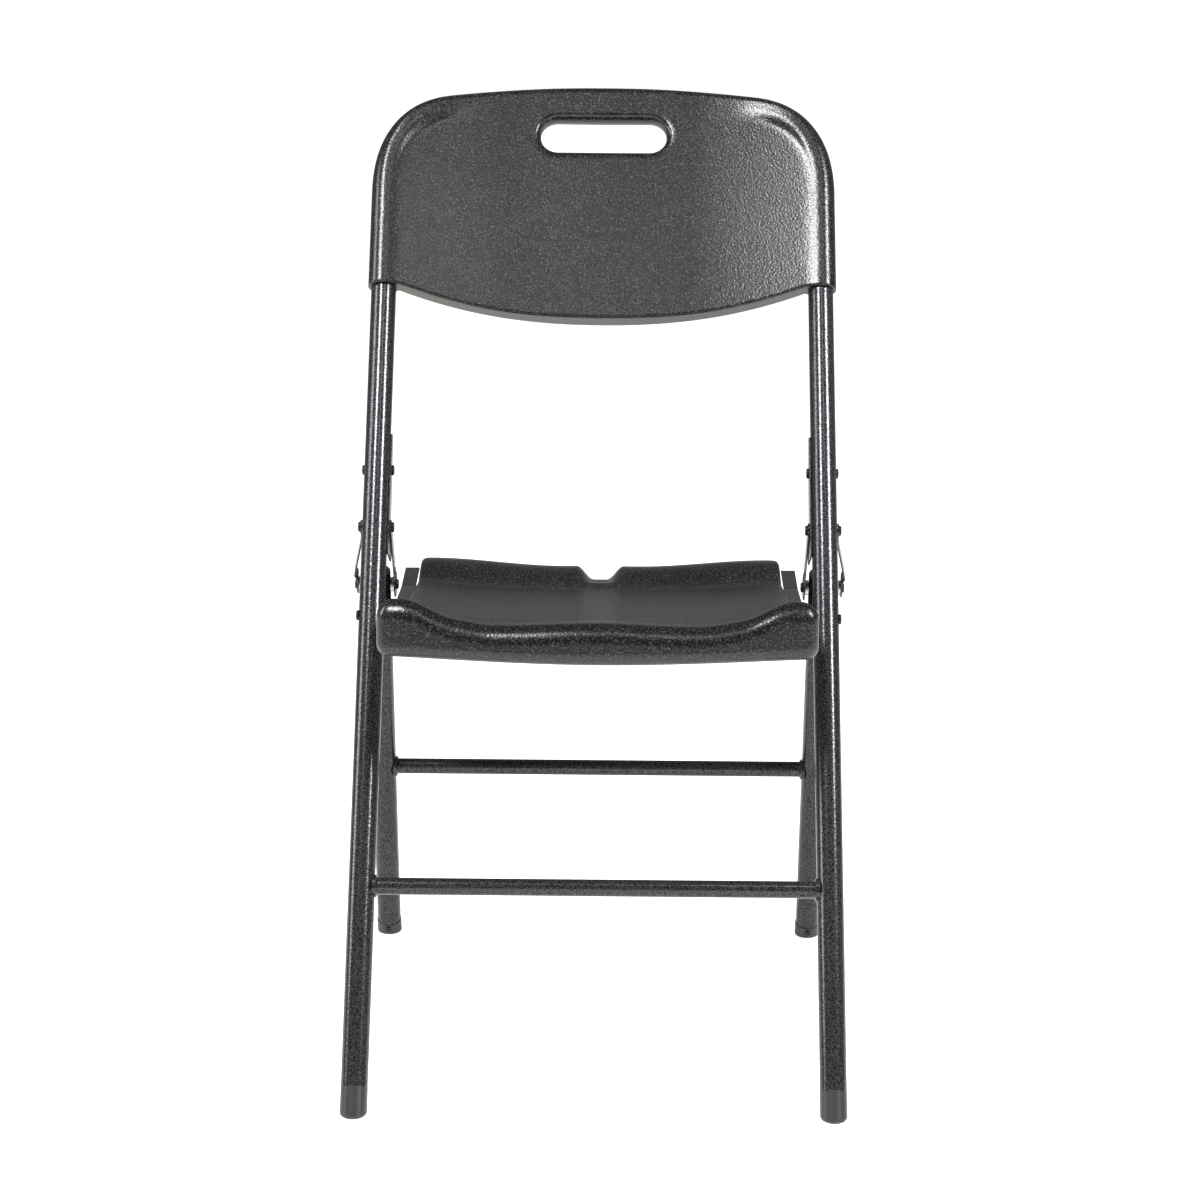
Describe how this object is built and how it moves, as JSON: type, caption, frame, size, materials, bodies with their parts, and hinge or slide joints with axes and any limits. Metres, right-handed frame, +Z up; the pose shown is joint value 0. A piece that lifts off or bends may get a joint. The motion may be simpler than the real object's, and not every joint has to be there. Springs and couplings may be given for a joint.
{
  "type": "folding chair",
  "caption": "Folding chair with straight tubular uprights, hinged rear legs on short links, and a blow-moulded seat and backrest with a hand slot.",
  "frame": {"origin": "on the floor, midway between the left and right uprights and midway along the chair's length", "axes": "+X to the right as seen from in front of the chair, +Y from the front feet towards the rear feet, +Z up; the sitter faces -Y"},
  "size_m": [0.486, 0.5558, 0.907],
  "materials": {
    "moulded_plastic": "charcoal blow-moulded polyethylene with a pebbled grain",
    "foot_plastic": "smooth satin moulded plastic",
    "bush_nylon": "dark nylon",
    "zinc_steel": "bright zinc plate",
    "black_steel": "black rivet and screw heads",
    "frame_paint": "dark grey hammertone powder coat"
  },
  "bodies": {
    "front_frame": {"front_tube_left": "frame_paint", "front_tube_right": "frame_paint", "front_foot_cap_left": "foot_plastic", "front_foot_cap_right": "foot_plastic", "front_cross_rail": "frame_paint", "front_rail_welds": "frame_paint", "backrest": "moulded_plastic", "backrest_screws": "black_steel", "gusset_plate_left": "frame_paint", "gusset_plate_right": "frame_paint", "gusset_rivets": "black_steel", "seat_pivot_rivets": "black_steel", "seat_pivot_bushes": "bush_nylon", "upright_link_rivets": "black_steel"},
    "seat_unit": {"seat": "moulded_plastic", "seat_screws": "black_steel", "seat_rail_left": "frame_paint", "seat_rail_right": "frame_paint", "leg_pivot_rivets": "black_steel", "leg_pivot_bushes": "bush_nylon"},
    "rear_frame": {"rear_leg_left": "frame_paint", "rear_leg_right": "frame_paint", "rear_foot_cap_left": "foot_plastic", "rear_foot_cap_right": "foot_plastic", "rear_cap_rivets": "black_steel", "rear_leg_plugs": "foot_plastic", "rear_cross_rail": "frame_paint", "rear_rail_welds": "frame_paint", "leg_link_shanks": "zinc_steel", "leg_link_washers": "zinc_steel"},
    "left_link": {"inner_link_left": "frame_paint", "outer_link_left": "frame_paint", "link_rivet_heads_left": "black_steel"},
    "right_link": {"inner_link_right": "frame_paint", "outer_link_right": "frame_paint", "link_rivet_heads_right": "black_steel"}
  },
  "joints": [
    {"name": "seat_fold", "type": "hinge", "parent": "front_frame", "child": "seat_unit", "pos_m": [0, -0.02631, 0.41266], "axis": [1, 0, 0], "range_deg": [0, 64]},
    {"name": "rear_leg_fold", "type": "hinge", "parent": "seat_unit", "child": "rear_frame", "pos_m": [0, 0.09351, 0.37722], "axis": [1, 0, 0], "range_deg": [-117.5, 0]},
    {"name": "left_link_swing", "type": "hinge", "parent": "front_frame", "child": "left_link", "pos_m": [0, 0.02396, 0.48972], "axis": [1, 0, 0], "range_deg": [0, 98]},
    {"name": "right_link_swing", "type": "hinge", "parent": "front_frame", "child": "right_link", "pos_m": [0, 0.02396, 0.48972], "axis": [1, 0, 0], "range_deg": [0, 98]}
  ],
  "couplings": [
    {"joint": "rear_leg_fold", "follows": "seat_fold", "ratio": -1.8358},
    {"joint": "left_link_swing", "follows": "seat_fold", "ratio": 1.5309},
    {"joint": "right_link_swing", "follows": "seat_fold", "ratio": 1.5309}
  ]
}
